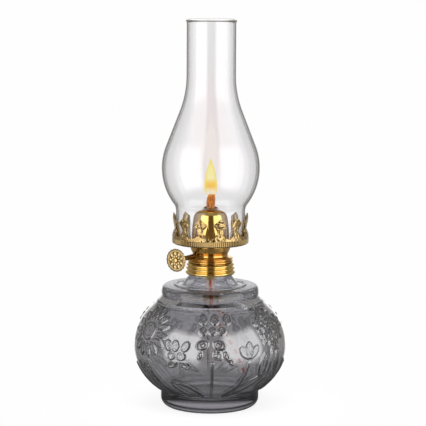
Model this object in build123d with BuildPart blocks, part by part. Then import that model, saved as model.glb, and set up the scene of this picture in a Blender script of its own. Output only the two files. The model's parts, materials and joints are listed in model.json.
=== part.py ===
from build123d import *

import math
import os

# Table-top oil lamp, in millimetres. The origin is the middle of the foot's underside and +Z is up,
# along the lamp's axis. The wick knob points to the front left.

# ---------------------------------------------------------------- font (glass reservoir)
foot_radius = 40.5
foot_edge = 7.0
foot_top = 12.2
contact_inner = 28.0
foot_recess = 2.2
belly_radius = 63.0
belly_rise = 49.4
belly_middle = 52.0
belly_wall = 2.9
floor_height = 8.5
rim_radius = 40.4
rim_bottom = 93.0
rim_top = 101.0
rim_edge = 2.4
rim_wall = 4.4
cove_radius = 44.5
shoulder_rise = 0.6
ring_radius = 28.8
ring_bead = 1.1
ring_border = 4.0
neck_radius = 17.0
neck_flare = 6.0
neck_wall = 3.4
neck_height = 12.0
neck_inner_flare = 6.0

# ---------------------------------------------------------------- flowers pressed in the font's belly
relief_height = 1.1
relief_root = 1.0
relief_ends = 46.0
outline_wide = 1.5
petal_wide = 5.6
petal_long = 8.6
posy_wide = 5.0
posy_long = 7.0
sunflower_radius = 7.4
ray_count = 15
ray_wide = 4.0
ray_long = 10.0
ray_reach = 14.6
daisy_petals = 5
daisy_petal_wide = 3.4
daisy_petal_long = 5.0
tulip_wide = 5.4
tulip_long = 12.0
blade_wide = 4.4
blade_long = 24.0
stem_wide = 1.6
stem_long = 20.0

# ---------------------------------------------------------------- collar (brass ring cemented on the neck)
sheet = 0.8
collar_height = 9.6
collar_overlap = 2.4
collar_radius = 18.9
collar_bead = 20.6
thread_pitch = 2.3
thread_depth = 0.6
collar_turns = 2
cement_gap = 0.05
screw_clearance = 0.3
seat_gap = 0.05

# ---------------------------------------------------------------- burner
skirt_turns = 2
flange_radius = 18.7
flange_height = 4.1
shell_height = 15.2
shell_neck = 15.2
shell_flare = 16.1
shell_lip = 17.0
base_plate_rise = 0.9
vent_radius = 1.2
vent_offset = 11.0
plate_gap = 0.05

wick_radius = 3.7
tube_clearance = 0.45
tube_wall = 0.45
tube_drop = 10.6
tube_top = 163.6

spindle_radius = 1.4
spindle_rise = 5.25
knob_bearing = 234.0
running_gap = 0.08
press_gap = 0.02
wheel_teeth = 12
wheel_radius = 4.2
wheel_root = 3.1
wheel_thickness = 0.8
wheel_spread = 1.5
wheel_gap = 0.15
slot_margin = 0.4
cheek_thickness = 0.6
cheek_half_height = 4.0
sleeve_radius = 2.3
sleeve_tip_radius = 1.8
sleeve_inside = 11.5
sleeve_length = 14.5

knob_distance = 35.8
knob_radius = 9.5
knob_thickness = 1.2
knob_lobes = 18
lobe_radius = 1.7
knob_dish = 0.45
hub_radius = 2.6
hub_length = 3.0
hub_chamfer = 0.5
rivet_radius = 1.9
rivet_height = 0.9

diffuser_thickness = 0.7
diffuser_hole = 1.1
diffuser_inner_circle = 8.0
diffuser_inner_count = 12
diffuser_outer_circle = 12.4
diffuser_outer_count = 18

# ---------------------------------------------------------------- gallery, dome and chimney
gallery_radius = 31.6
gallery_opening = 13.0
band_height = 7.3
prong_count = 12
prong_height = 23.9
prong_lean = 0.3
prong_clearance = 0.4
prong_base = 5.8
prong_waist = 2.9
prong_leaf = 5.3
prong_waist_height = 12.2
prong_leaf_height = 18.2
prong_slot = 0.9
prong_slot_height = 9.4
prong_gap_round = 1.0
prong_curve = 6.0
band_corner = 0.8
air_hole = 1.4
air_hole_count = 24
air_hole_circle = 22.9

dome_radius = 18.7
dome_height = 29.9
dome_shoulder = 16.4
dome_waist = 14.4
dome_crown = 12.4
dome_opening = 5.3
dome_curve = 4.0

chimney_fit = 28.6
chimney_wall = 1.8
chimney_length = 182.95
bulge_radius = 40.45
bulge_height = 61.4
bulge_curve = 50.0
lower_flare = 35.0
upper_taper = 21.4
fitter_curve = 11.0
taper_curve = 80.0
flue_radius = 20.3
lip_radius = 21.0
lip_height = 1.6

wick_rise = 13.6
wick_round = 1.6

# The wick's tail hangs limp from the tube's lower mouth. Each corner has the radius that its runs allow.
tail_route = [
    (0.0, 0.0, 102.4),
    (0.0, 0.0, 87.0),
    (6.5, -1.0, 69.5),
    (17.5, -2.7, 53.0),
    (25.0, -4.0, 38.5),
    (28.6, -4.6, 28.0),
]

# ---------------------------------------------------------------- heights worked out from the sizes above
neck_top = rim_top + neck_height
collar_bottom = neck_top - collar_overlap
collar_top = collar_bottom + collar_height
collar_ridge = collar_top - thread_pitch * collar_turns
collar_bore = collar_radius - sheet - thread_depth
skirt_radius = collar_bore - screw_clearance
skirt_bottom = neck_top + screw_clearance
flange_bottom = collar_top + seat_gap
shell_top = flange_bottom + shell_height
spindle_height = flange_bottom + spindle_rise
tube_bore = wick_radius + tube_clearance
tube_radius = tube_bore + tube_wall
tube_bottom = neck_top - tube_drop
diffuser_top = shell_top + diffuser_thickness
gallery_bottom = diffuser_top + plate_gap
gallery_floor = gallery_bottom + sheet
chimney_base = gallery_floor + seat_gap
dome_base = gallery_floor + plate_gap
wick_top = tube_top + wick_rise

# ---------------------------------------------------------------- the spindle's own directions
spindle_offset = wick_radius + wheel_gap + wheel_radius
outward = Vector(1, 0, 0).rotate(Axis.Z, knob_bearing)
aside = outward.rotate(Axis.Z, -90)
spindle_centre = aside * spindle_offset + Vector(0, 0, spindle_height)


def across_spindle(distance):
    """The plane square to the spindle, that far from the wick's side towards the knob."""
    return Plane(origin=spindle_centre + outward * distance, x_dir=aside, z_dir=outward)


def from_above(height):
    """A level plane whose x axis runs from the wick to the spindle, and y axis along the spindle."""
    return Plane(origin=(0, 0, height), x_dir=aside, z_dir=(0, 0, -1))


def save(piece, label):
    piece.part.label = label
    export_step(piece.part, f"parts/{label}.step")


os.makedirs("parts", exist_ok=True)

# ---------------------------------------------------------------- font
belly_start = math.degrees(math.acos((foot_radius + 1) / belly_radius))
belly_end = math.degrees(math.acos(cove_radius / belly_radius))
hollow_radius = belly_radius - belly_wall
hollow_rise = belly_rise - belly_wall
hollow_start = math.degrees(math.asin((belly_middle - floor_height) / hollow_rise))
hollow_end = math.degrees(math.acos((rim_radius - rim_wall) / hollow_radius))
neck_bore = neck_radius - neck_wall
ceiling = rim_top - rim_wall

with BuildPart() as plain_font:
    with BuildSketch(Plane.XZ):
        with BuildLine():
            recess = Polyline((0, foot_recess), (contact_inner - 3, foot_recess), (contact_inner, 0))
            sole = Line(recess @ 1, (foot_radius - foot_edge, 0))
            edge = RadiusArc(sole @ 1, (foot_radius, foot_edge), -foot_edge)
            side = Line(edge @ 1, (foot_radius, foot_top))
            belly = EllipticalCenterArc(
                (0, belly_middle), belly_radius, belly_rise, -belly_start, arc_size=belly_start + belly_end
            )
            Line(side @ 1, belly @ 0)
            cove = Polyline(belly @ 1, (rim_radius + 1.4, rim_bottom - 1.4), (rim_radius, rim_bottom))
            rim = Line(cove @ 1, (rim_radius, rim_top - rim_edge))
            rim_corner = RadiusArc(rim @ 1, (rim_radius - rim_edge, rim_top), -rim_edge)
            shoulder = Line(rim_corner @ 1, (ring_radius + ring_bead, rim_top + shoulder_rise))
            bead = RadiusArc(
                shoulder @ 1, (ring_radius - ring_bead, rim_top + shoulder_rise), -ring_bead * 1.1
            )
            dip = Line(bead @ 1, (ring_radius - ring_border, rim_top + shoulder_rise))
            flare = RadiusArc(dip @ 1, (neck_radius, neck_top - neck_flare / 2), neck_height)
            neck = Polyline(flare @ 1, (neck_radius, neck_top), (neck_bore, neck_top), (neck_bore, rim_top + 2))
            throat = Line(neck @ 1, (neck_bore + neck_inner_flare, ceiling))
            hollow = EllipticalCenterArc(
                (0, belly_middle), hollow_radius, hollow_rise, -hollow_start, arc_size=hollow_start + hollow_end
            )
            Polyline(throat @ 1, (rim_radius - rim_wall, ceiling), hollow @ 1)
            Polyline(hollow @ 0, (0, floor_height), recess @ 0)
        make_face()
    revolve(axis=Axis.Z)

# ---------------------------------------------------------------- flowers pressed in the belly
with BuildPart() as relief_layer:
    with BuildSketch(Plane.XZ):
        with BuildLine():
            crest = EllipticalCenterArc(
                (0, belly_middle), belly_radius + relief_height, belly_rise + relief_height,
                -relief_ends, arc_size=relief_ends * 2,
            )
            depth = EllipticalCenterArc(
                (0, belly_middle), belly_radius - relief_root, belly_rise - relief_root,
                -relief_ends, arc_size=relief_ends * 2,
            )
            Line(crest @ 0, depth @ 0)
            Line(crest @ 1, depth @ 1)
        make_face()
    revolve(axis=Axis.Z)


def in_belly(bearing, climb, tilt=0):
    """A plane a root's depth inside the belly, at degrees round and up from the front of its widest line."""
    turn = math.radians(bearing)
    climb = math.radians(climb)
    away = Vector(math.sin(turn), -math.cos(turn), 0)
    height = belly_middle + belly_rise * math.sin(climb)
    touching = Plane(
        origin=away * (belly_radius * math.cos(climb)) + Vector(0, 0, height),
        x_dir=Vector(math.cos(turn), math.sin(turn), 0),
        z_dir=away * (math.cos(climb) / belly_radius) + Vector(0, 0, math.sin(climb) / belly_rise),
    )
    return Plane(touching.location * Location((0, 0, -relief_root), (0, 0, -tilt)))


def petal(bearing, climb, wide, long, tilt=0):
    """An oval petal, drawn by the bead round its edge."""
    with BuildPart() as form:
        with BuildSketch(in_belly(bearing, climb, tilt)):
            Ellipse((wide + outline_wide) / 2, (long + outline_wide) / 2)
            Ellipse((wide - outline_wide) / 2, (long - outline_wide) / 2, mode=Mode.SUBTRACT)
        extrude(amount=relief_root + relief_height)
    return form.part


def daisy(bearing, climb):
    """A small flower of petals that meet in its heart."""
    with BuildPart() as form:
        with BuildSketch(in_belly(bearing, climb)):
            with PolarLocations(daisy_petal_long / 2, daisy_petals, start_angle=90):
                Ellipse(daisy_petal_long / 2, daisy_petal_wide / 2)
        extrude(amount=relief_root + relief_height)
    return form.part


def ring(bearing, climb, radius):
    """The bead round a large flower's heart."""
    with BuildPart() as form:
        with BuildSketch(in_belly(bearing, climb)):
            Circle(radius + outline_wide / 2)
            Circle(radius - outline_wide / 2, mode=Mode.SUBTRACT)
        extrude(amount=radius, both=True)
        add(relief_layer.part, mode=Mode.INTERSECT)
    return form.part


def leaf(bearing, climb, long, wide, tilt=0):
    """A leaf with a point at each end, leaning over by the tilt."""
    with BuildPart() as form:
        with BuildSketch(in_belly(bearing, climb, tilt)):
            with BuildLine():
                SagittaArc((0, -long / 2), (0, long / 2), wide / 2)
                SagittaArc((0, long / 2), (0, -long / 2), wide / 2)
            make_face()
        extrude(amount=long / 2, both=True)
        add(relief_layer.part, mode=Mode.INTERSECT)
    return form.part


def stem(bearing, climb, long, tilt=0):
    """A straight stem, leaning over by the tilt."""
    with BuildPart() as form:
        with BuildSketch(in_belly(bearing, climb, tilt)):
            SlotOverall(long, stem_wide, rotation=90)
        extrude(amount=long / 2, both=True)
        add(relief_layer.part, mode=Mode.INTERSECT)
    return form.part


def beside(bearing, climb, across, up):
    """The bearing and climb of a place that many millimetres across and up from another."""
    reach = belly_radius * math.cos(math.radians(climb))
    return bearing + math.degrees(across / reach), climb + math.degrees(up / belly_rise)


forms = []

# the tall spray in the middle
for turn, tilt in ((-6.5, -8), (4.5, 0), (15.5, 10)):
    forms.append(petal(turn, 36.7, petal_wide, petal_long, tilt))
for turn, tilt in ((-5.5, -14), (2.2, 0), (10.0, 14)):
    forms.append(petal(turn, 25.4, posy_wide, posy_wide, tilt))
for turn, tilt in ((-5.8, 70), (7.4, -70)):
    forms.append(petal(turn, 12.4, petal_wide, petal_long, tilt))
forms.append(stem(1.7, -18.0, stem_long * 1.3))

# the posy at the lower left
for turn, tilt in ((-33.0, -22), (-26.0, 0), (-18.4, 28)):
    forms.append(petal(turn, 10.3, posy_wide, posy_long, tilt))
for turn, tilt in ((-29.8, 20), (-21.5, 0)):
    forms.append(petal(turn, 1.2, posy_wide, posy_wide, tilt))
for turn, tilt in ((-29.0, 62), (-18.6, -58)):
    forms.append(petal(turn, -7.4, posy_wide, posy_long, tilt))
forms.append(stem(-23.0, -17.0, stem_long / 2))

# the sunflower
forms.append(ring(-57, 20.0, sunflower_radius))
for count in range(ray_count):
    around = count * 360 / ray_count
    sway = math.radians(around)
    place = beside(-57, 20.0, ray_reach * math.sin(sway), ray_reach * math.cos(sway))
    forms.append(leaf(*place, ray_long, ray_wide, around))

# the tulip
for turn, tilt in ((25.6, -32), (31.4, 2), (37.4, 34)):
    forms.append(leaf(turn, 5.0, tulip_long, tulip_wide, tilt))
forms.append(stem(27.0, -16.0, stem_long, 14))

# the daisies at the upper right
for turn, climb in (
    (52, 41.0), (63, 35.2), (46, 28.0), (58, 24.5), (49.5, 16.0), (66, 17.1), (76, 26.4), (57, 7.6),
):
    forms.append(daisy(turn, climb))

# leaves that grow from the foot
for turn, climb, tilt in (
    (-80, -14, -8), (-70, -22, 8), (-60, -20, -10), (-50, -18, -28), (-9, -38, -70), (15, -26, 40),
    (44, -14, 12), (52, -24, 24), (62, -16, 4), (73, -18, -8), (84, -14, 6), (94, -22, -8),
):
    forms.append(leaf(turn, climb, blade_long, blade_wide, tilt))
# the same flowers again on the back
with BuildPart() as font:
    add(plain_font.part)
    add(forms + [form.rotate(Axis.Z, 180) for form in forms])
save(font, "font")

# ---------------------------------------------------------------- collar and its cement
waist = collar_radius - thread_depth
ridges = [
    (radius, collar_ridge + turn * thread_pitch + half * thread_pitch / 2)
    for turn in range(collar_turns)
    for half, radius in ((0, waist), (1, collar_radius))
]
ridge_curves = [thread_pitch / 6] * len(ridges)
bead_top = collar_ridge - sheet

with BuildPart() as collar:
    with BuildSketch(Plane.XZ):
        with BuildLine():
            outside = FilletPolyline(
                (neck_radius + cement_gap, collar_bottom),
                (collar_bead, collar_bottom),
                (collar_bead, bead_top),
                *ridges,
                (waist, collar_top),
                radius=[sheet * 1.6, sheet * 1.6, *ridge_curves],
            )
            inside = FilletPolyline(
                (neck_radius + cement_gap, collar_bottom + sheet),
                (collar_bead - sheet, collar_bottom + sheet),
                (collar_bead - sheet, bead_top - sheet),
                *[(radius - sheet, height) for radius, height in ridges],
                (waist - sheet, collar_top),
                radius=[sheet * 0.6, sheet * 0.6, *ridge_curves],
            )
            Line(outside @ 0, inside @ 0)
            Line(outside @ 1, inside @ 1)
        make_face()
    revolve(axis=Axis.Z)
save(collar, "collar")

with BuildPart() as cement:
    with BuildSketch(Plane.XZ):
        with BuildLine():
            Polyline(
                (neck_radius + cement_gap, collar_bottom + sheet + cement_gap),
                (collar_bead - sheet * 2, collar_bottom + sheet + cement_gap),
                (collar_bead - sheet - cement_gap, collar_bottom + sheet * 2),
                (collar_bead - sheet - cement_gap, neck_top - sheet / 2),
                (neck_radius + cement_gap, neck_top - sheet / 4),
                close=True,
            )
        make_face()
    revolve(axis=Axis.Z)
save(cement, "collar_cement")

# ---------------------------------------------------------------- threaded skirt and base plate
root = skirt_radius - thread_depth
turns = [
    (radius, skirt_bottom + turn * thread_pitch + half * thread_pitch / 2)
    for turn in range(skirt_turns)
    for half, radius in ((1, skirt_radius), (2, root))
]
turn_curves = [thread_pitch / 6] * len(turns)
skirt_bore = root - sheet
skirt_lip = flange_radius - sheet - plate_gap

with BuildPart() as skirt:
    with BuildSketch(Plane.XZ):
        with BuildLine():
            thread = FilletPolyline(
                (root, skirt_bottom), *turns, (root, flange_bottom), radius=turn_curves
            )
            Polyline(
                thread @ 1,
                (skirt_lip, flange_bottom),
                (skirt_lip, flange_bottom + sheet),
                (skirt_bore, flange_bottom + sheet),
                (skirt_bore, skirt_bottom),
                thread @ 0,
            )
        make_face()
    revolve(axis=Axis.Z)
save(skirt, "screw_skirt")

with BuildPart() as base_plate:
    with BuildSketch(Plane.XY.offset(skirt_bottom + base_plate_rise)):
        Circle(skirt_bore - press_gap)
        Circle(tube_radius + press_gap, mode=Mode.SUBTRACT)
        with Locations((vent_offset, 0)):
            Circle(vent_radius, mode=Mode.SUBTRACT)
    extrude(amount=sheet)
save(base_plate, "base_plate")

# ---------------------------------------------------------------- burner shell
shell_line = [
    (flange_radius, flange_bottom),
    (flange_radius, flange_bottom + flange_height),
    (shell_neck, flange_bottom + flange_height + 1.1),
    (shell_neck, flange_bottom + flange_height + 2.8),
    (shell_flare, flange_bottom + shell_height * 0.68),
    (shell_lip, shell_top - sheet * 2),
    (shell_lip, shell_top),
]

with BuildPart() as shell:
    with BuildSketch(Plane.XZ):
        with BuildLine():
            FilletPolyline(*shell_line, radius=[1.4, 0.6, 1.5, 1.0, 1.0])
            offset(amount=sheet, side=Side.LEFT, closed=True)
        make_face()
    revolve(axis=Axis.Z)
    with BuildSketch(across_spindle(0)):
        Circle(sleeve_radius + press_gap)
    extrude(amount=sleeve_inside + sleeve_length, mode=Mode.SUBTRACT)
save(shell, "burner_shell")

# ---------------------------------------------------------------- wick tube and the spindle's bracket
slot_half_width = wheel_spread + wheel_thickness / 2 + slot_margin
slot_half_height = wheel_radius * 0.78

with BuildPart() as tube:
    with BuildSketch(Plane.XY.offset(tube_bottom)):
        Circle(tube_radius)
        Circle(tube_bore, mode=Mode.SUBTRACT)
    extrude(amount=tube_top - tube_bottom)
    with BuildSketch(from_above(spindle_height)):
        with Locations((tube_radius, 0)):
            Rectangle(tube_radius, slot_half_width * 2)
    extrude(amount=slot_half_height, both=True, mode=Mode.SUBTRACT)
save(tube, "wick_tube")

bracket_back = spindle_offset + wheel_radius + slot_margin
cheek_spread = tube_radius + press_gap

with BuildPart() as bracket:
    with BuildSketch(from_above(spindle_height)):
        with Locations((bracket_back / 2, 0)):
            Rectangle(bracket_back + cheek_thickness, (cheek_spread + cheek_thickness) * 2)
        with Locations((bracket_back / 2 - cheek_thickness, 0)):
            Rectangle(bracket_back + cheek_thickness, cheek_spread * 2, mode=Mode.SUBTRACT)
    extrude(amount=cheek_half_height, both=True)
    with BuildSketch(across_spindle(0)):
        Circle(spindle_radius + running_gap)
    extrude(amount=cheek_spread * 2, both=True, mode=Mode.SUBTRACT)
save(bracket, "wheel_bracket")

# ---------------------------------------------------------------- spindle, sleeve and star wheels
spindle_inner_end = -cheek_spread - cheek_thickness - 0.8
spindle_length = knob_distance + knob_thickness - spindle_inner_end

with BuildPart() as spindle:
    with BuildSketch(across_spindle(spindle_inner_end)):
        Circle(spindle_radius)
    extrude(amount=spindle_length)
save(spindle, "spindle")

with BuildPart() as sleeve:
    with BuildSketch(across_spindle(sleeve_inside)):
        Circle(sleeve_radius)
    with BuildSketch(across_spindle(sleeve_inside + sleeve_length)):
        Circle(sleeve_tip_radius)
    loft()
    with BuildSketch(across_spindle(sleeve_inside)):
        Circle(spindle_radius + running_gap)
    extrude(amount=sleeve_length, mode=Mode.SUBTRACT)
save(sleeve, "spindle_sleeve")

tooth_angle = 360 / wheel_teeth
star = [
    Vector(radius, 0).rotate(Axis.Z, (tooth + half) * tooth_angle)
    for tooth in range(wheel_teeth)
    for half, radius in ((0, wheel_radius), (0.5, wheel_root))
]
for label, side_of_wick in (("star_wheel_outer", 1), ("star_wheel_inner", -1)):
    with BuildPart() as wheel:
        with BuildSketch(across_spindle(side_of_wick * wheel_spread)):
            with BuildLine():
                Polyline(*star, close=True)
            make_face()
            Circle(spindle_radius + press_gap, mode=Mode.SUBTRACT)
        extrude(amount=wheel_thickness / 2, both=True)
    save(wheel, label)

# ---------------------------------------------------------------- knob, its hub and rivet
with BuildPart() as knob:
    with BuildSketch(across_spindle(knob_distance)):
        Circle(knob_radius - lobe_radius)
        with PolarLocations(knob_radius - lobe_radius, knob_lobes):
            Circle(lobe_radius)
        Circle(spindle_radius + press_gap, mode=Mode.SUBTRACT)
    extrude(amount=knob_thickness)
    with BuildSketch(across_spindle(knob_distance + knob_thickness)):
        Circle(knob_radius - lobe_radius * 1.6)
        Circle(rivet_radius + 1.2, mode=Mode.SUBTRACT)
    extrude(amount=-knob_dish, mode=Mode.SUBTRACT)
save(knob, "knob")

along_spindle = Axis(tuple(spindle_centre), tuple(outward))

with BuildPart() as hub:
    with BuildSketch(across_spindle(knob_distance - hub_length)):
        Circle(hub_radius)
        Circle(spindle_radius + press_gap, mode=Mode.SUBTRACT)
    extrude(amount=hub_length)
    chamfer(hub.faces().sort_by(along_spindle)[0].edges().sort_by(SortBy.RADIUS)[-1], hub_chamfer)
save(hub, "knob_hub")

with BuildPart() as rivet:
    with BuildSketch(across_spindle(knob_distance + knob_thickness)):
        Circle(rivet_radius)
    extrude(amount=rivet_height)
    fillet(rivet.faces().sort_by(along_spindle)[-1].edges(), rivet_height * 0.8)
save(rivet, "knob_rivet")

# ---------------------------------------------------------------- air diffuser
with BuildPart() as diffuser:
    with BuildSketch(Plane.XY.offset(shell_top)):
        Circle(shell_lip)
        Circle(tube_radius + press_gap, mode=Mode.SUBTRACT)
        with PolarLocations(diffuser_inner_circle, diffuser_inner_count):
            Circle(diffuser_hole, mode=Mode.SUBTRACT)
        with PolarLocations(diffuser_outer_circle, diffuser_outer_count):
            Circle(diffuser_hole, mode=Mode.SUBTRACT)
    extrude(amount=diffuser_thickness)
save(diffuser, "air_diffuser")

# ---------------------------------------------------------------- gallery with its leaf prongs
band_top = gallery_bottom + band_height
prong_waist_at = gallery_bottom + prong_waist_height
prong_leaf_at = gallery_bottom + prong_leaf_height
prong_tip_at = gallery_bottom + prong_height
waist_inside = chimney_fit + prong_clearance
prong_step = 360 / prong_count
half_pitch = gallery_radius * math.sin(math.radians(prong_step / 2))

# The outline of the gap between two prongs, from the band up to their tips.
with BuildPart() as prong_gap:
    with BuildSketch(Plane.XZ):
        with BuildLine():
            gap_side = Spline(
                (0, band_top),
                (half_pitch - prong_base, band_top + prong_gap_round),
                (half_pitch - prong_waist, prong_waist_at),
                (half_pitch - prong_leaf, prong_leaf_at),
                (half_pitch, prong_tip_at),
                tangents=((1, 0), (1, 1)),
            )
            Polyline(gap_side @ 1, (half_pitch, prong_tip_at + sheet), (0, prong_tip_at + sheet))
            mirror(about=Plane.YZ)
        make_face()
    extrude(amount=gallery_radius * 1.2)

with BuildPart() as gallery:
    with BuildSketch(Plane.XZ):
        with BuildLine():
            prong_outside = FilletPolyline(
                (gallery_opening, gallery_bottom),
                (gallery_radius, gallery_bottom),
                (gallery_radius, band_top),
                (waist_inside + sheet, prong_waist_at),
                (gallery_radius + prong_lean, prong_tip_at),
                radius=[band_corner + sheet, prong_curve, prong_curve],
            )
            prong_inside = FilletPolyline(
                (gallery_opening, gallery_floor),
                (gallery_radius - sheet, gallery_floor),
                (gallery_radius - sheet, band_top),
                (waist_inside, prong_waist_at),
                (gallery_radius + prong_lean - sheet, prong_tip_at),
                radius=[band_corner, prong_curve, prong_curve],
            )
            Line(prong_outside @ 0, prong_inside @ 0)
            Line(prong_outside @ 1, prong_inside @ 1)
        make_face()
    revolve(axis=Axis.Z)
    with PolarLocations(0, prong_count):
        add(prong_gap.part, mode=Mode.SUBTRACT)
    with BuildSketch(Plane.XY.offset(gallery_bottom)):
        with PolarLocations(air_hole_circle, air_hole_count):
            Circle(air_hole)
    extrude(amount=sheet, mode=Mode.SUBTRACT)
    for prong in range(prong_count):
        facing = Vector(1, 0, 0).rotate(Axis.Z, (prong + 0.5) * prong_step)
        with BuildSketch(Plane(origin=(0, 0, gallery_bottom + prong_slot_height), z_dir=facing)):
            Circle(prong_slot)
        extrude(amount=gallery_radius * 1.2, mode=Mode.SUBTRACT)
save(gallery, "gallery")

# ---------------------------------------------------------------- flame dome
dome_line = [
    (dome_radius, dome_base),
    (dome_radius, dome_base + dome_height * 0.12),
    (dome_shoulder, dome_base + dome_height * 0.27),
    (dome_waist, dome_base + dome_height * 0.65),
    (dome_crown, dome_base + dome_height * 0.84),
    (dome_opening, dome_base + dome_height - sheet),
]

with BuildPart() as dome:
    with BuildSketch(Plane.XZ):
        with BuildLine():
            FilletPolyline(*dome_line, radius=[dome_curve, dome_curve * 2, dome_curve * 4, dome_curve * 1.4])
            offset(amount=sheet, side=Side.LEFT, closed=True)
        make_face()
    revolve(axis=Axis.Z)
save(dome, "dome")

# ---------------------------------------------------------------- chimney (clear glass)
chimney_top = chimney_base + chimney_length
bulge_middle = Vector(bulge_radius - bulge_curve, chimney_base + bulge_height)
bulge_half_turn = math.radians((lower_flare + upper_taper) / 2)
bulge_corner = bulge_middle + Vector(bulge_curve / math.cos(bulge_half_turn), 0).rotate(
    Axis.Z, (upper_taper - lower_flare) / 2
)
flare_start = bulge_corner.Y - (bulge_corner.X - chimney_fit) / math.tan(math.radians(lower_flare))
taper_end = bulge_corner.Y + (bulge_corner.X - flue_radius) / math.tan(math.radians(upper_taper))

with BuildPart() as chimney:
    with BuildSketch(Plane.XZ):
        with BuildLine():
            FilletPolyline(
                (chimney_fit, chimney_base),
                (chimney_fit, flare_start),
                (bulge_corner.X, bulge_corner.Y),
                (flue_radius, taper_end),
                (flue_radius, chimney_top),
                radius=[fitter_curve, bulge_curve, taper_curve],
            )
            offset(amount=chimney_wall, side=Side.LEFT, closed=True)
        make_face()
        with BuildLine():
            Polyline(
                (flue_radius - chimney_wall / 2, chimney_top - lip_height),
                (flue_radius, chimney_top - lip_height),
                (lip_radius, chimney_top - lip_height / 2),
                (lip_radius, chimney_top),
                (flue_radius - chimney_wall / 2, chimney_top),
                close=True,
            )
        make_face()
    revolve(axis=Axis.Z)
save(chimney, "chimney")

# ---------------------------------------------------------------- wick and its tail
with BuildPart() as wick:
    with BuildSketch(Plane.XY.offset(tube_bottom)):
        Circle(wick_radius)
    extrude(amount=wick_top - tube_bottom)
    fillet(wick.faces().sort_by(Axis.Z)[-1].edges(), wick_round)
save(wick, "wick")

runs = [Vector(*after) - Vector(*before) for before, after in zip(tail_route, tail_route[1:])]
bends = []
for first, second in zip(runs, runs[1:]):
    half_turn = math.radians(first.get_angle(second) / 2)
    bends.append(0.45 * min(first.length, second.length) / math.tan(half_turn))

with BuildPart() as tail:
    with BuildLine():
        tail_line = FilletPolyline(*tail_route, radius=bends)
    with BuildSketch(Plane(origin=tail_line @ 0, z_dir=tail_line % 0)):
        Circle(wick_radius)
    sweep()
save(tail, "wick_tail")

section = math.pi * wick_radius**2
print("wick tail: bend radii", [round(bend, 1) for bend in bends], "length", round(tail_line.length, 1))
print("wick tail: volume", round(tail.part.volume), "section times length", round(section * tail_line.length))
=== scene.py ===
# %% [markdown]
# # A table oil lamp, dressed for its portrait
#
# The lamp stands 320 mm tall: a font of smoke-grey pressed glass, a brass burner with a wick wheel, and a
# clear chimney held by twelve leaf prongs. The solids of every piece come in as a fixed frame. This lesson
# gives them their looks: glass with flowers pressed into it, polished and stamped brass, a braided cotton
# wick and a flame.
#
# The frame is the solids' own: the middle of the foot's underside is the origin, +Z is up, and the viewer
# stands towards -Y. Outlines and sizes are written in millimetres and become metres through `MM`. Places
# in the studio and in the wick's route are in metres.

# %% Tools and the fixed frame
import json
import math

import bmesh
import bpy
import numpy as np
from mathutils import Matrix, Vector


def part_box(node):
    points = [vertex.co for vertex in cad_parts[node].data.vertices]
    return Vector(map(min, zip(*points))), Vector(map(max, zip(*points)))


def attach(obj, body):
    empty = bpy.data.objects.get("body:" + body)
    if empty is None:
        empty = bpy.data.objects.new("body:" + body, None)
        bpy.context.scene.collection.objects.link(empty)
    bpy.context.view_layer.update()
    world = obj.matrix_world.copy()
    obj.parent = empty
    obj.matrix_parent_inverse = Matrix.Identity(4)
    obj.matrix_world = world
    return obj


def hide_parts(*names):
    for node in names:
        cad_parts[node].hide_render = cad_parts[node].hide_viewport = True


MM = 0.001
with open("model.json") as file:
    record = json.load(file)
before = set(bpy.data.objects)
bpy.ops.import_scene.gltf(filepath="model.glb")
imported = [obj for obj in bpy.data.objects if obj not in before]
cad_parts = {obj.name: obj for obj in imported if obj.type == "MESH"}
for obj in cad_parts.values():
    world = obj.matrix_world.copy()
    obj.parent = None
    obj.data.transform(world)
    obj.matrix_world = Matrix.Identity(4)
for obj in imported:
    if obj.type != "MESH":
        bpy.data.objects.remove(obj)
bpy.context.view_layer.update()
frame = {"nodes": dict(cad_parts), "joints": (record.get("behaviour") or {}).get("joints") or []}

# %% [markdown]
# ## Where the pieces are
#
# The heights of the burner, the wick and the chimney are read from the solids, so these pieces follow their
# solids if those move up or down. The font's outline, the tail's route and most heights at which a glass
# changes its tint are plain numbers. `top` and `bottom` are small helpers for reading a height.

# %% Heights read from the solids
def top(node):
    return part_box(node)[1].z


def bottom(node):
    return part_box(node)[0].z


def widest(node):
    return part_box(node)[1].x


print("lamp height in mm:", round(top("chimney") / MM), "font width:", round(2 * widest("font") / MM))

# %% [markdown]
# ## The camera
#
# The lamp is seen from 1.7 m away and a little above, through a long lens. A long lens keeps the upright
# lines of the chimney parallel. The camera leans by a third of a degree, as a hand-set tripod does.

# %% Camera
view_angle = 11.66
camera_place = (0.0007, -1.7, 0.4096)
looks_down = 8.32
leans = -0.3

camera_data = bpy.data.cameras.new("camera")
camera_data.sensor_fit = "HORIZONTAL"
camera_data.angle = math.radians(view_angle)
camera_data.clip_start = 0.05
camera = bpy.data.objects.new("camera", camera_data)
bpy.context.scene.collection.objects.link(camera)
camera.location = camera_place
camera.rotation_euler = (math.radians(90 - looks_down), math.radians(leans), 0)
bpy.context.scene.camera = camera
bpy.context.scene.view_settings.view_transform = "Standard"
print("camera sees", round(math.degrees(camera_data.angle), 2), "degrees")

# %% [markdown]
# ## The studio
#
# A white table, a white background and three soft boxes: one to the left, one to the right and one above.
# The boxes light matt surfaces only, and are hidden from reflections. Polished brass is a picture of what
# surrounds it, and that picture is painted in the world below, where each band can be placed by itself.

# %% Floor
table_size = 6
table_drop = 0.0002


def link(name, mesh):
    """A new object that holds this mesh, in the scene."""
    thing = bpy.data.objects.new(name, mesh)
    bpy.context.scene.collection.objects.link(thing)
    return thing


def object_from(name, shape):
    """Turns a bmesh into an object and frees it."""
    mesh = bpy.data.meshes.new(name)
    shape.to_mesh(mesh)
    shape.free()
    return link(name, mesh)


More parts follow.
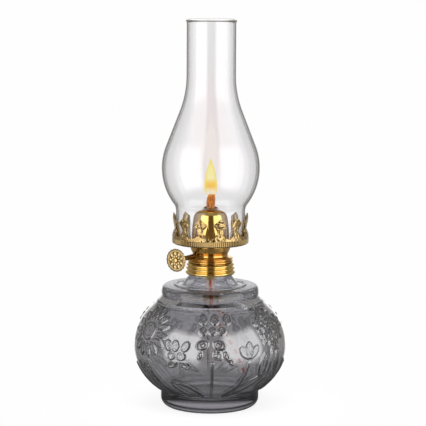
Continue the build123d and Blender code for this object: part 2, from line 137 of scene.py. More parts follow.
shape = bmesh.new()
bmesh.ops.create_grid(shape, x_segments=1, y_segments=1, size=table_size)
floor = object_from("floor", shape)
floor.location.z = -table_drop
print("floor is", floor.dimensions.x, "m wide")


# %% [markdown]
# Node trees are easier to read when each node is one line. `node` adds a node and sets its inputs: a value
# is written to the socket, and a socket is linked to it. The helpers after it cover the nodes that every
# material here needs again: arithmetic, a range, a ramp, a mix of colours and a mix of shaders.

# %% Helpers for shader nodes
def connect(tree, value, socket):
    """Links a socket to an input, or writes a plain value to it."""
    if isinstance(value, bpy.types.NodeSocket):
        tree.links.new(value, socket)
    else:
        socket.default_value = value


def node(tree, kind, operation=None, **inputs):
    """Adds a shader node. An input is given by name or as in0, in1, and is a value or a socket."""
    new = tree.nodes.new(kind)
    if operation:
        new.operation = operation
    for key, value in inputs.items():
        numbered = key[:2] == "in" and key[2:].isdigit()
        connect(tree, value, new.inputs[int(key[2:]) if numbered else key.replace("_", " ")])
    return new


def maths(tree, operation, *values):
    """One step of arithmetic on values or sockets."""
    inputs = {f"in{slot}": value for slot, value in enumerate(values)}
    return node(tree, "ShaderNodeMath", operation, **inputs).outputs[0]


def spread(tree, value, low, high, start=0.0, end=1.0):
    """Maps low to high onto start to end, and stays between them."""
    return node(tree, "ShaderNodeMapRange", Value=value, in1=low, in2=high, in3=start, in4=end).outputs[0]


def ramp(tree, factor, *stops):
    """A colour ramp through (position, colour) stops."""
    new = node(tree, "ShaderNodeValToRGB", Fac=factor)
    while len(new.color_ramp.elements) < len(stops):
        new.color_ramp.elements.new(0.5)
    for element, (position, colour) in zip(new.color_ramp.elements, stops):
        element.position = position
        element.color = (*colour, 1)
    return new.outputs["Color"]


def blend_colour(tree, factor, first, second, kind="MIX"):
    """Mixes two colours and returns the result's socket."""
    mix = tree.nodes.new("ShaderNodeMix")
    mix.data_type = "RGBA"
    mix.blend_type = kind
    for slot, value in ((0, factor), (6, first), (7, second)):
        connect(tree, value, mix.inputs[slot])
    return mix.outputs[2]


def mix_shaders(tree, share, first, second):
    """The first shader at a share of 0 and the second at 1."""
    return node(tree, "ShaderNodeMixShader", in0=share, in1=first.outputs[0], in2=second.outputs[0])


# %% Helpers for what a material reads
def object_place(tree):
    """Where each point of the piece lies, in metres."""
    return tree.nodes.new("ShaderNodeTexCoord").outputs["Object"]


def height_up(tree):
    """The height of each point above the table, in metres."""
    return node(tree, "ShaderNodeSeparateXYZ", in0=object_place(tree)).outputs["Z"]


def edge_on(tree):
    """0 where the surface faces the viewer, and 1 where it is seen edge on."""
    return node(tree, "ShaderNodeLayerWeight", Blend=0.5).outputs["Facing"]


def attribute(tree, name):
    """Reads a value that is stored on the mesh."""
    reader = tree.nodes.new("ShaderNodeAttribute")
    reader.attribute_name = name
    return reader.outputs["Fac"]


def new_material(name):
    """An empty material, its tree and its output node."""
    material = bpy.data.materials.new(name)
    material.use_nodes = True
    material.node_tree.nodes.clear()
    return material, material.node_tree, material.node_tree.nodes.new("ShaderNodeOutputMaterial")


# %% [markdown]
# The table carries the lamp's soft shadow close by. To the eye it also gives off some light, and it fades
# to plain white further out, so that table and background meet without a line. In reflections it is gone
# beyond the shadow, so that the brass mirrors the dark floor of the room painted below.

# %% Floor finish
def seen(tree):
    """1 for a ray that comes from the camera or through glass, and 0 for one that only carries light."""
    path = tree.nodes.new("ShaderNodeLightPath")
    return maths(tree, "MAXIMUM", path.outputs["Is Camera Ray"], path.outputs["Is Transmission Ray"])


def mirrored(tree):
    """1 for a ray that has just been reflected. Rays through smooth glass also count as glossy."""
    path = tree.nodes.new("ShaderNodeLightPath")
    share = maths(tree, "SUBTRACT", path.outputs["Is Glossy Ray"], path.outputs["Is Transmission Ray"])
    return maths(tree, "MAXIMUM", share, 0.0)


table_grey = (0.28, 0.28, 0.28, 1)
table_lift = 0.84
paper_white = (0.99, 0.99, 0.99, 1)

floor_finish, tree, out = new_material("white_table")
away = node(tree, "ShaderNodeVectorMath", "LENGTH", in0=object_place(tree)).outputs["Value"]
table = node(tree, "ShaderNodeBsdfDiffuse", Color=table_grey)
lift = maths(tree, "MULTIPLY", seen(tree), table_lift)
glow = node(tree, "ShaderNodeEmission", Color=(1, 1, 1, 1), Strength=lift)
near = node(tree, "ShaderNodeAddShader", in0=table.outputs[0], in1=glow.outputs[0])
paper = node(tree, "ShaderNodeEmission", Color=paper_white, Strength=1.0)
far = maths(tree, "MULTIPLY", spread(tree, away, 0.045, 0.12), seen(tree))
both = mix_shaders(tree, far, near, paper)
gone = maths(tree, "MULTIPLY", spread(tree, away, 0.1, 0.3), mirrored(tree))
shown = mix_shaders(tree, gone, both, tree.nodes.new("ShaderNodeBsdfTransparent"))
tree.links.new(shown.outputs[0], out.inputs["Surface"])
floor.data.materials.append(floor_finish)

# %% [markdown]
# The world is white to the eye. Rays through glass see it white at eye level and grey overhead. What
# shines sees a photographer's room instead: dark towards the camera, with a tall white wall on each side
# of it, and a dark floor and ceiling. The walls draw bright bands down the whole chimney, the dark between
# them gives the brass its depth, and the dark floor makes its rings stand out. The room is painted about
# twice as bright as the rest and placed for a view from the front. Seen from behind, the chimney's outline
# comes out thin.

# %% World
world = bpy.data.worlds.new("studio")
bpy.context.scene.world = world
world.use_nodes = True
tree = world.node_tree
tree.nodes.clear()
path = tree.nodes.new("ShaderNodeLightPath")
direction = node(tree, "ShaderNodeSeparateXYZ", in0=tree.nodes.new("ShaderNodeTexCoord").outputs["Generated"])
front = maths(tree, "MULTIPLY", direction.outputs["Y"], -1.0)
bearing = maths(tree, "ARCTAN2", direction.outputs["X"], front)
turn = spread(tree, bearing, -math.pi, math.pi)
climb = direction.outputs["Z"]


def around(degrees):
    """A bearing as a share of the full turn, as the ramp counts it."""
    return degrees / 360 + 0.5


bright = (1, 1, 1)
dark = (0.06, 0.045, 0.025)
dim = (0.18, 0.175, 0.17)
back = (0.6, 0.6, 0.6)
ceiling_grey = (0.16, 0.16, 0.165, 1)
floor_brown = (0.07, 0.06, 0.045, 1)

room = ramp(
    tree, turn,
    (around(-180), back), (around(-168), back), (around(-155), dim), (around(-76), dim),
    (around(-68), bright), (around(-20), bright), (around(-13), dark), (around(19), dark),
    (around(27), bright), (around(80), bright), (around(88), dim), (around(155), dim),
    (around(168), back), (around(180), back)
)
overhead = ramp(
    tree, spread(tree, climb, -1.0, 1.0),
    (0.55, bright), (0.8, (0.45, 0.45, 0.46)), (1.0, (0.3, 0.3, 0.31))
)
roofed = blend_colour(tree, spread(tree, climb, 0.56, 0.72), room, ceiling_grey)
floored = blend_colour(tree, spread(tree, climb, -0.62, -0.42, 1.0, 0.0), roofed, floor_brown)
backgrounds = {
    "light": node(tree, "ShaderNodeBackground", Color=(1, 1, 1, 1), Strength=0.35),
    "mirror": node(tree, "ShaderNodeBackground", Color=floored, Strength=2.2),
    "glass": node(tree, "ShaderNodeBackground", Color=overhead, Strength=1.0),
    "eye": node(tree, "ShaderNodeBackground", Color=paper_white, Strength=1.0),
}
shown = backgrounds["light"]
for ray, name in (("Is Glossy Ray", "mirror"), ("Is Transmission Ray", "glass"), ("Is Camera Ray", "eye")):
    shown = mix_shaders(tree, path.outputs[ray], shown, backgrounds[name])
tree.links.new(shown.outputs[0], tree.nodes.new("ShaderNodeOutputWorld").inputs["Surface"])

# %% Lamps
aim_height = 0.15


def soft_box(name, bearing, distance, height, width, tall, power):
    """A soft box that faces the lamp. Its bearing is counted from the camera, to the right."""
    light = bpy.data.lights.new(name, "AREA")
    light.shape = "RECTANGLE"
    light.size = width
    light.size_y = tall
    light.energy = power
    box = bpy.data.objects.new(name, light)
    bpy.context.scene.collection.objects.link(box)
    angle = math.radians(bearing)
    box.location = (distance * math.sin(angle), -distance * math.cos(angle), height)
    aim = Vector((0, 0, aim_height)) - box.location
    box.rotation_euler = aim.to_track_quat("-Z", "Y").to_euler()
    box.visible_camera = False
    box.visible_glossy = False
    box.visible_transmission = False


soft_box("left_box", bearing=-43, distance=1.2, height=0.32, width=1.0, tall=0.62, power=8)
soft_box("right_box", bearing=56, distance=1.2, height=0.32, width=0.85, tall=0.62, power=7)
soft_box("top_box", bearing=0, distance=0.3, height=1.4, width=1.0, tall=1.0, power=5)
print("three soft boxes are up")

# %% [markdown]
# ## The wick's tail
#
# Below the burner the wick hangs limp in the font. It leaves the tube's lower mouth at 102 mm, runs down
# through the neck, and leans over to the right, where its cut end floats free above the bottom.
# The route is a list of points, and a NURBS spline of order 3 draws one smooth line along them.

# %% Route of the tail
tail_route = [
    (0.0, 0.0, 0.1024),
    (0.0, 0.0, 0.087),
    (0.0065, -0.001, 0.0695),
    (0.0175, -0.0027, 0.053),
    (0.025, -0.004, 0.0385),
    (0.0286, -0.0046, 0.028),
]


def spline_points(name, route):
    """Points read along the smooth line that a NURBS spline draws through the route."""
    curve = bpy.data.curves.new(name, "CURVE")
    curve.dimensions = "3D"
    spline = curve.splines.new("NURBS")
    spline.points.add(len(route) - 1)
    for point, place in zip(spline.points, route):
        point.co = (*place, 1)
    spline.order_u = 3
    spline.use_endpoint_u = True
    spline.resolution_u = 16
    holder = bpy.data.objects.new(name, curve)
    bpy.context.scene.collection.objects.link(holder)
    line = bpy.data.meshes.new_from_object(holder.evaluated_get(bpy.context.evaluated_depsgraph_get()))
    points = [vertex.co.copy() for vertex in line.vertices]
    bpy.data.objects.remove(holder)
    bpy.data.meshes.remove(line)
    return points


tail_line = spline_points("tail_route", tail_route)

# %% [markdown]
# ## Turned pieces
#
# Most of the lamp is round: glass that took the shape of a round mould, and sheet metal spun on a lathe. So
# most of it is a half outline turned about the axis. `rounded` rounds the corners of an outline,
# `moved_left` gives a sheet or a wall its other side, and `turned` spins the outline with
# `bmesh.ops.spin`. `use_merge` closes the seam where the full turn meets itself.

# %% Outline and lathe
def rounded(points, radii, steps=8):
    """The outline through the points, each inner corner rounded to its radius."""
    line = [Vector(points[0])]
    for before, corner, after, radius in zip(points, points[1:], points[2:], radii):
        before, corner, after = Vector(before), Vector(corner), Vector(after)
        back = (before - corner).normalized()
        ahead = (after - corner).normalized()
        half = back.angle(ahead) / 2
        middle = corner + (back + ahead).normalized() * radius / math.sin(half)
        start = (corner + back * radius / math.tan(half) - middle).normalized()
        end = (corner + ahead * radius / math.tan(half) - middle).normalized()
        line += [middle + start.slerp(end, step / steps) * radius for step in range(steps + 1)]
    return line + [Vector(points[-1])]


def moved_left(line, distance):
    """The same line, moved to its left by this distance."""
    moved = []
    for before, point, after in zip([line[0]] + line, line, line[1:] + [line[-1]]):
        run = (after - before).normalized()
        moved.append(point + Vector((-run.y, run.x)) * distance)
    return moved


def turned(name, outline, steps=128):
    """Spins a closed outline of (radius, height) points, in millimetres, into a smooth solid."""
    shape = bmesh.new()
    verts = [shape.verts.new((radius * MM, 0, height * MM)) for radius, height in outline]
    edges = [shape.edges.new(pair) for pair in zip(verts, verts[1:] + verts[:1])]
    bmesh.ops.spin(
        shape, geom=verts + edges, axis=(0, 0, 1), cent=(0, 0, 0), dvec=(0, 0, 0),
        angle=math.tau, steps=steps, use_merge=True, use_duplicate=False
    )
    bmesh.ops.remove_doubles(shape, verts=shape.verts[:], dist=1e-6)
    bmesh.ops.recalc_face_normals(shape, faces=shape.faces[:])
    piece = object_from(name, shape)
    piece.data.shade_smooth()
    return piece


def crisp(piece, degrees=35):
    """Keeps edges sharper than this as edges in the shading, as on sheet metal."""
    piece.data.set_sharp_from_angle(angle=math.radians(degrees))
    return piece


# %% [markdown]
# ## The font's outline
#
# The font was pressed in a mould: a thick foot, a belly that is an ellipse, a rim with a rounded top, a
# raised ring and a short neck inside the collar. The plain belly has its solid's radius, 63 mm, and the
# flowers of the next step stand 1.1 mm proud of it. The outline is spun anew because the relief needs a
# far denser mesh than the solid brings.

# %% Font sizes
relief_height = 1.1
belly_radius = 63.0
belly_rise = 49.4
belly_middle = 52.0
belly_start = 14.5
belly_end = 88
wall = 2.9
foot_radius = 40.5
rim_radius = 40.4
neck_top = top("font") / MM


def belly(height, inset=0.0):
    """The belly's radius at this height, or its inner wall's."""
    rise = (height - belly_middle) / (belly_rise - inset)
    return (belly_radius - inset) * math.sqrt(1 - rise * rise)


def ellipse_heights(start, end, inset, count):
    """Heights from start to end that lie evenly along the ellipse."""
    first = math.asin((start - belly_middle) / (belly_rise - inset))
    last = math.asin((end - belly_middle) / (belly_rise - inset))
    return [
        belly_middle + (belly_rise - inset) * math.sin(first + (last - first) * step / count)
        for step in range(count + 1)
    ]


# %% Font outline
foot = rounded(
    [(0, 2.2), (25, 2.2), (28, 0), (foot_radius, 0), (foot_radius, 12.4), (41.6, 14.6)],
    [1, 0.8, 7, 1.5]
)
belly_line = [Vector((belly(height), height)) for height in ellipse_heights(14.8, 87.0, 0, 122)]
crown = rounded(
    [(44.0, 88.4), (39.6, 91.6), (rim_radius, 95.8), (39.2, 101.2), (30.2, 101.5), (29.8, 102.6),
     (28.0, 102.6), (27.4, 101.6), (23, 102.2), (17.6, 109), (16.9, neck_top), (13.6, neck_top)],
    [1.6, 8, 3, 0.3, 0.4, 0.4, 0.5, 3, 6, 0.4], steps=6
)
throat = rounded(
    [(13.6, neck_top - 1), (13.6, 104), (19.5, 97), (36, 96.4), (44.5, 87.5)],
    [3, 3, 4], steps=5
)
hollow = [Vector((belly(height, wall), height)) for height in reversed(ellipse_heights(9.5, 84.5, wall, 34))]
font_outline = foot + belly_line + crown + throat + hollow + [Vector((12, 8.6)), Vector((0, 8.5))]
print("font outline has", len(font_outline), "points")

# %% [markdown]
# ## Flowers in the glass
#
# The mould was cut with flowers, so the glass stands proud along their outlines. A dense spun shape gets
# the relief by moving its points outwards. The amount comes from drawing functions: each takes every point
# of the belly as (across, up) in millimetres, measured from the flower's own place, and gives the height
# of a rounded ridge there. Functions are easier to change than a sculpted mesh, and they stay sharp.

# %% Drawing functions
class Garden:
    """Points of the belly, and the height of the relief at each."""

    def __init__(self, bearing, height):
        self.bearing = bearing
        self.height = height
        self.climb = np.interp(height, climb_heights, climb_lengths)
        self.relief = np.zeros_like(bearing)

    def local(self, bearing, height, tilt=0.0):
        """Distances from a place on the belly, across and up, turned by the tilt."""
        turn = (self.bearing - bearing + 180) % 360 - 180
        across = np.radians(turn) * np.interp(height, climb_heights, climb_radii)
        up = self.climb - np.interp(height, climb_heights, climb_lengths)
        lean = math.radians(tilt)
        return across * math.cos(lean) - up * math.sin(lean), across * math.sin(lean) + up * math.cos(lean)

    def raise_to(self, amount):
        self.relief = np.maximum(self.relief, amount)

    def ridge(self, distance, width=0.85, height=1.0):
        """A rounded bead where the distance is 0."""
        self.raise_to(height * np.cos(np.clip(np.abs(distance) / width, 0, 1) * math.pi / 2) ** 2)

    def petal(self, bearing, height, wide, tall, tilt=0.0, heart=0.0):
        """An oval petal: a beaded outline round a low pad, with an optional bead in its heart."""
        across, up = self.local(bearing, height, tilt)
        reach = np.hypot(across / (wide / 2), up / (tall / 2))
        self.ridge((reach - 1) * min(wide, tall) / 2)
        self.raise_to(np.where(reach < 1, 0.28, 0.0))
        if heart:
            self.ridge((reach - heart) * min(wide, tall) / 2, 0.6, 0.7)

    def leaf(self, bearing, height, long, wide, tilt=0.0, bend=0.0, rib=True, line=0.8):
        """A pointed leaf that grows up from its foot, with a rib along its middle."""
        across, up = self.local(bearing, height, tilt)
        along = np.clip(up / long, 0, 1)
        across = across - bend * np.sin(along * math.pi / 2) ** 2
        side = wide / 2 * np.sin(along * math.pi) ** 0.75
        inside = (up > 0) & (up < long)
        self.raise_to(np.where(inside & (np.abs(across) < side), 0.3, 0.0))
        self.ridge(np.where(inside, np.abs(across) - side, 9), line)
        if rib:
            self.ridge(np.where(inside & (along < 0.85), across, 9), 0.5, 0.6)

    def stem(self, bearing, height, long, tilt=0.0, bend=0.0, width=0.8):
        """A line that grows up from its foot and leans over by the bend."""
        across, up = self.local(bearing, height, tilt)
        along = np.clip(up / long, 0, 1)
        self.ridge(np.where((up > 0) & (up < long), across - bend * along * along, 9), width)


climb_heights = np.array(ellipse_heights(6, 98, 0, 200))
climb_radii = np.array([belly(height) for height in climb_heights])
climb_lengths = np.concatenate([[0], np.cumsum(np.hypot(np.diff(climb_heights), np.diff(climb_radii)))])


# %% The planting plan
def plant_spray(garden, face):
    """The tall spray in the middle: a stem under four rows of petals."""
    garden.stem(face + 1.7, 15.5, 40, bend=0.3)
    for turn, tilt in ((-6.5, -8), (4.5, 0), (15.5, 10)):
        garden.petal(face + turn, 81.5, 5.4, 8.6, tilt, heart=0.45)
    for turn, tilt in ((-5.5, -14), (2.2, 0), (10, 14)):
        garden.petal(face + turn, 73.2, 5.0, 5.8, tilt, heart=0.4)
    for turn, tilt in ((-5.8, 70), (7.4, -70)):
        garden.petal(face + turn, 62.6, 6.4, 9.2, tilt, heart=0.5)
    small = ((-7.2, 55, 15), (4.3, 54.4, -20), (7.2, 54, -10), (12.8, 53.6, -15), (16.2, 49, -30))
    for turn, height, tilt in small:
        garden.petal(face + turn, height, 2.6, 5.2, tilt)


def plant_posy(garden, face):
    """The small flower at the lower left, on a short stem."""
    for turn, tilt in ((-32.4, -22), (-26.4, 0), (-18.4, 28)):
        garden.petal(face + turn, 60.8, 4.6, 7.4, tilt, heart=0.4)
    garden.petal(face - 21.5, 53, 5.6, 5.4, heart=0.5)
    garden.petal(face - 29.2, 53, 4.4, 5.6, 20)
    for turn, tilt in ((-28.8, 62), (-18.6, -58)):
        garden.petal(face + turn, 45.6, 4.2, 7.6, tilt, heart=0.45)
    garden.stem(face - 22.4, 33, 13)


def plant_sunflower(garden, face):
    """A ring with two rows of pointed petals around it."""
    centre = face - 57
    garden.petal(centre, 69, 15, 14.5, heart=0.62)
    for count in range(15):
        around = count * 24
        out = 11.4
        place = centre + math.degrees(out * math.sin(math.radians(around)) / 60)
        garden.leaf(place, 69 + 0.88 * out * math.cos(math.radians(around)), 11.5, 4.4, around, rib=False)
    garden.stem(centre + 2, 16, 27, tilt=-12, bend=3)


def plant_tulip(garden, face):
    """A tulip of three petals, with one long leaf from the foot."""
    garden.leaf(face + 30.6, 50.6, 12.5, 6.4, -32, bend=-1.0)
    garden.leaf(face + 30.4, 51.0, 13.0, 5.4, 2)
    garden.leaf(face + 31.0, 50.6, 12.5, 5.2, 34, bend=1.0)
    garden.stem(face + 22.5, 20.5, 32, tilt=17, bend=-2)
    garden.leaf(face + 13.5, 16.2, 38, 6.4, 42, bend=2.0, line=1.2)


def plant_daisies(garden, face):
    """The crowd of round flowers at the upper right, on long stems."""
    flowers = (
        (52, 84.6, 5.2), (63, 80.5, 5.0), (46, 75.2, 5.2), (58, 72.5, 5.6),
        (49.5, 65.6, 5.4), (66, 66.5, 5.2), (75, 74, 5.2), (56.5, 58.5, 4.6)
    )
    for turn, height, size in flowers:
        garden.petal(face + turn, height, size, size, heart=0.35)
        for around in range(0, 360, 72):
            out = size * 0.86
            place = face + turn + math.degrees(out * math.sin(math.radians(around)) / 60)
            garden.petal(place, height + out * 0.9 * math.cos(math.radians(around)), 2.5, 3.4, around)
    for turn, tilt, bend in ((52, 4, -2), (60, -2, 1), (67, -8, 2)):
        garden.stem(face + turn, 17.5, 42, tilt, bend, width=1.4)
    garden.leaf(face + 43, 33, 21, 6.6, 12, bend=-1.5, line=1.1)
    garden.leaf(face + 46, 22, 20, 6.0, 30, bend=1.5, line=1.1)


def plant_grass(garden, face):
    """Blades and curled leaves that grow from the foot."""
    blades = (
        (-42, 38, -28, -3), (-46, 34, -14, -2), (-38, 22, -38, -2), (-54, 30, -6, 2),
        (-66, 32, 10, 3), (-76, 28, -10, -2), (76, 30, 6, 2), (84, 34, -8, -2)
    )
    for turn, long, tilt, bend in blades:
        garden.leaf(face + turn, 16.5, long, 5.4, tilt, bend, line=1.3)
    garden.leaf(face - 6.5, 15.6, 27, 10, -60, bend=5, line=1.2)
    for turn in (-21, -17.5, -14):
        garden.stem(face + turn, 15.6, 6.5, tilt=18, bend=1, width=0.7)


def plant(bearing, height):
    """The relief at these places. The planting fills half a turn and is repeated on the back."""
    garden = Garden(bearing, height)
    for face in (0, 180):
        for bed in (plant_spray, plant_posy, plant_sunflower, plant_tulip, plant_daisies, plant_grass):
            bed(garden, face)
    fade = np.clip((height - belly_start) / 2, 0, 1) * np.clip((belly_end - height) / 3, 0, 1)
    return garden.relief * fade


# %% [markdown]
# The relief is worked out three times, a hair apart, which also gives how steep each flank is. That is kept
# on the mesh as an attribute, and the glass below uses it to paint shade on steep flanks, where light leaves
# pressed glass at a slant.

# %% Font glass
font = turned("font_glass", font_outline, steps=480)
places = np.empty(len(font.data.vertices) * 3)
font.data.vertices.foreach_get("co", places)
places = places.reshape(-1, 3)
radius = np.hypot(places[:, 0], places[:, 1]) / MM
height = places[:, 2] / MM
plain = np.array([belly(z) if belly_start < z < belly_end else 0.0 for z in height])
on_belly = (plain > 0) & (radius > plain - 0.4)
bearing = np.degrees(np.arctan2(places[:, 0], -places[:, 1]))[on_belly]
belly_heights = height[on_belly]
relief = plant(bearing, belly_heights)
hair = 0.35
uphill = (plant(bearing, belly_heights + hair) - relief) / hair
sideways = (plant(bearing + math.degrees(hair / belly_radius), belly_heights) - relief) / hair
flank = np.zeros(len(places))
flank[on_belly] = np.hypot(uphill, sideways)
normals = np.empty(len(font.data.vertices) * 3)
font.data.vertices.foreach_get("normal", normals)
places[on_belly] += normals.reshape(-1, 3)[on_belly] * relief[:, None] * relief_height * MM
font.data.vertices.foreach_set("co", places.ravel())
flank_layer = font.data.attributes.new("flank", "FLOAT", "POINT")
flank_layer.data.foreach_set("value", flank)
font.data.update()
print("relief on", int((relief > 0.05).sum()), "points; steepest flank", round(float(flank.max()), 2))
print("font triangles:", sum(len(face.vertices) - 2 for face in font.data.polygons))

# %% [markdown]
# ## Glass
#
# Two glasses are used, one smoke grey and one clear. Both are Principled shaders with full transmission, and
# both have painted shade where the surface is seen edge on: a darker tint that stands for light that crosses
# more glass there and is bent away from the bright background.
#
# The smoked glass has its colour inside, as absorption, so a ray gets darker the more glass it crosses.
# The rest is painted, mostly by height: painted bands of light and shade in the foot, painted shade on the
# flanks beside the flowers' lines, a shiny coat on the belly, and a crown painted paler, with painted rings
# of light and shade towards its edge, that is partly plain see-through. The coat's index of 2.3 is far above
# that of glass. These values suit this studio, and under other lights they are the first to change.

# %% Smoked glass
smoked, tree, out = new_material("smoked_glass")
slant = edge_on(tree)
level = height_up(tree)
# Painted shade: the smoked glass is painted darker where it is seen edge on.
edge_shade = ramp(
    tree, slant,
    (0.0, (0.63, 0.625, 0.65)), (0.55, (0.56, 0.555, 0.575)), (0.92, (0.12, 0.12, 0.125))
)
# Painted shade on the steep flanks of the flowers' beads.
flank_shade_share = spread(tree, attribute(tree, "flank"), 0.2, 0.75)
flank_shade = blend_colour(tree, flank_shade_share, edge_shade, (0.02, 0.02, 0.022, 1))
# Painted light and shade: bright and dark bands up the foot, by height.
foot_light_and_shade = ramp(
    tree, spread(tree, level, 0.0, 20 * MM),
    (0.0, (0.3, 0.3, 0.31)), (0.05, (0.85, 0.84, 0.87)), (0.12, (0.75, 0.75, 0.78)), (0.18, (0.2, 0.2, 0.21)),
    (0.26, (0.25, 0.25, 0.26)), (0.36, (1.0, 0.98, 1.0)), (0.5, (0.8, 0.8, 0.82)), (0.6, (0.05, 0.05, 0.055)),
    (0.72, (0.35, 0.35, 0.36)), (1.0, (1, 1, 1))
)
banded = blend_colour(tree, 1.0, flank_shade, foot_light_and_shade, "MULTIPLY")
# Painted light and shade for the crown: paler where it faces the viewer, with dark and bright rings towards
# its edge.
crown_light_and_shade = ramp(
    tree, slant,
    (0.0, (0.88, 0.88, 0.91)), (0.55, (0.82, 0.82, 0.85)), (0.72, (0.2, 0.2, 0.21)),
    (0.82, (0.7, 0.7, 0.72)), (0.93, (0.03, 0.03, 0.035))
)
crown_share = spread(tree, level, 87 * MM, 90 * MM)
crowned = blend_colour(tree, crown_share, banded, crown_light_and_shade)
polish = ramp(
    tree, spread(tree, level, 0.0, 0.1),
    (0.13, (0.2, 0.2, 0.2)), (0.17, (1, 1, 1)), (0.84, (1, 1, 1)), (0.89, (0.15, 0.15, 0.15))
)
glass = node(
    tree, "ShaderNodeBsdfPrincipled", Base_Color=crowned, Roughness=0.0, IOR=1.5, Transmission_Weight=1.0,
    Coat_Weight=polish, Coat_IOR=2.3, Coat_Roughness=0.02
)
crown_ease = 0.3
clearing = node(tree, "ShaderNodeBsdfTransparent", Color=crown_light_and_shade)
eased = mix_shaders(tree, maths(tree, "MULTIPLY", crown_share, crown_ease), glass, clearing)
foot_and_wall = spread(tree, level, 12 * MM, 17 * MM, 10.0, 130.0)
# The crown also gets less smoke, which adds to its painted paleness.
pale_crown = spread(tree, level, 85 * MM, 91 * MM, 1.0, 0.12)
smoke = maths(tree, "MULTIPLY", foot_and_wall, pale_crown)
depth = node(tree, "ShaderNodeVolumeAbsorption", Color=(0.5, 0.49, 0.52, 1), Density=smoke)
tree.links.new(eased.outputs[0], out.inputs["Surface"])
tree.links.new(depth.outputs[0], out.inputs["Volume"])
font.data.materials.append(smoked)

# %% [markdown]
# The chimney is thin and clear, so its outline is nearly all that shows, and painted shade at the edge draws
# it. The lip has a painted highlight, the middle is painted a little pink level with the flame and above it,
# as painted light from the flame, and the reflections get stronger with height. These are painter's choices.
# A ray that a surface has just reflected passes straight through, so that the brass doesn't mirror the
# chimney.

# %% Clear glass
clear, tree, out = new_material("clear_glass")
slant = edge_on(tree)
level = height_up(tree)
# Painted shade: the clear glass is painted dark where it is seen edge on.
chimney_edge_shade = ramp(
    tree, slant,
    (0.0, (0.935, 0.93, 0.935)), (0.66, (0.91, 0.905, 0.91)), (0.74, (0.15, 0.14, 0.14)),
    (0.8, (0.01, 0.009, 0.008))
)
# Painted highlight: the top of the lip is painted bright.
lip_share = spread(tree, level, top("chimney") - 2.2 * MM, top("chimney") - 1.8 * MM)
lip_highlight = blend_colour(tree, lip_share, chimney_edge_shade, (0.97, 0.97, 0.97, 1))
# Painted light from the flame: the glass is painted pink level with it and above, most where it faces the
# viewer.
flame_level = ramp(
    tree, spread(tree, level, 0.17, 0.29),
    (0.0, (0, 0, 0)), (0.25, (0.6, 0.6, 0.6)), (0.6, (1, 1, 1)), (1.0, (0, 0, 0))
)
warmth = maths(tree, "MULTIPLY", flame_level, spread(tree, slant, 0.02, 0.16, 1.0, 0.0))
warmed = blend_colour(tree, warmth, lip_highlight, (0.965, 0.915, 0.915, 1))
glass = node(
    tree, "ShaderNodeBsdfPrincipled", Base_Color=warmed, Roughness=0.0, IOR=1.47, Transmission_Weight=1.0,
    Specular_IOR_Level=spread(tree, level, 0.18, 0.27, 0.06, 0.4)
)
pane = mix_shaders(tree, mirrored(tree), glass, tree.nodes.new("ShaderNodeBsdfTransparent"))
tree.links.new(pane.outputs[0], out.inputs["Surface"])
print("glasses:", smoked.name, clear.name)

# %% [markdown]
# ## The chimney
#
# A blown tube: straight at its foot, a round bulge for the flame, and a long taper to the flue. The
# outline is four straight lines with rounded corners. The inner wall is the same outline moved inwards.

# %% Chimney
chimney_foot = bottom("chimney") / MM
chimney_top = top("chimney") / MM
fit = 28.6
flue = 20.3
glass_wall = 1.5
flare_angle = 35
taper_angle = 21.4
bulge_corner = (46.77, chimney_foot + 54.72)
flare_start = (fit, bulge_corner[1] - (bulge_corner[0] - fit) / math.tan(math.radians(flare_angle)))
taper_end = (flue, bulge_corner[1] + (bulge_corner[0] - flue) / math.tan(math.radians(taper_angle)))
outer = rounded(
    [(fit, chimney_foot + 0.6), flare_start, bulge_corner, taper_end, (flue, chimney_top - 3)],
    [11, 50, 80], steps=28
)
lip = [
    Vector((20.9, chimney_top - 1.4)), Vector((20.95, chimney_top - 0.5)),
    Vector((20.3, chimney_top)), Vector((19.4, chimney_top - 0.2))
]
inner = moved_left(outer, glass_wall)
chimney = turned("chimney_glass", outer + lip + inner[::-1] + [Vector((fit - 0.7, chimney_foot))], steps=160)
chimney.data.materials.append(clear)
print("chimney points:", len(chimney.data.vertices))

# %% Set the glass in place
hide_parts("font")
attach(font, "font_body")
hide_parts("chimney")
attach(chimney, "chimney_body")

# %% [markdown]
# ## Brass
#
# One group gives every brass piece its handling marks: faint clouds where the lacquer is thinner, and a
# darker film in small patches. It puts out a colour and a roughness, and each material gives it its own
# values, so that the polished dome and the stamped gallery age alike but shine differently.

# %% A group for worn brass
def new_group(name, inputs, outputs):
    """A shader node group with its own sockets, and its two end nodes."""
    group = bpy.data.node_groups.new(name, "ShaderNodeTree")
    for direction_name, sockets in (("INPUT", inputs), ("OUTPUT", outputs)):
        for label, kind, value in sockets:
            socket = group.interface.new_socket(name=label, in_out=direction_name, socket_type=kind)
            if value is not None:
                socket.default_value = value
    return group, group.nodes.new("NodeGroupInput"), group.nodes.new("NodeGroupOutput")


worn, start, end = new_group(
    "worn_brass",
    [("Bright", "NodeSocketColor", (0.9, 0.63, 0.24, 1)), ("Film", "NodeSocketColor", (0.5, 0.3, 0.1, 1)),
     ("Shine", "NodeSocketFloat", 0.12), ("Wear", "NodeSocketFloat", 0.3)],
    [("Color", "NodeSocketColor", None), ("Roughness", "NodeSocketFloat", None)],
)
place = object_place(worn)
clouds = node(worn, "ShaderNodeTexNoise", Vector=place, Scale=90, Detail=4)
specks = node(worn, "ShaderNodeTexNoise", Vector=place, Scale=900, Detail=2)
grime = maths(worn, "MULTIPLY", spread(worn, clouds.outputs["Fac"], 0.45, 0.75), start.outputs["Wear"])
tarnished = blend_colour(worn, grime, start.outputs["Bright"], start.outputs["Film"])
dulling = maths(worn, "MULTIPLY", specks.outputs["Fac"], 0.08)
rough = maths(worn, "ADD", dulling, start.outputs["Shine"])
worn.links.new(tarnished, end.inputs["Color"])
worn.links.new(maths(worn, "MULTIPLY_ADD", grime, 0.2, rough), end.inputs["Roughness"])


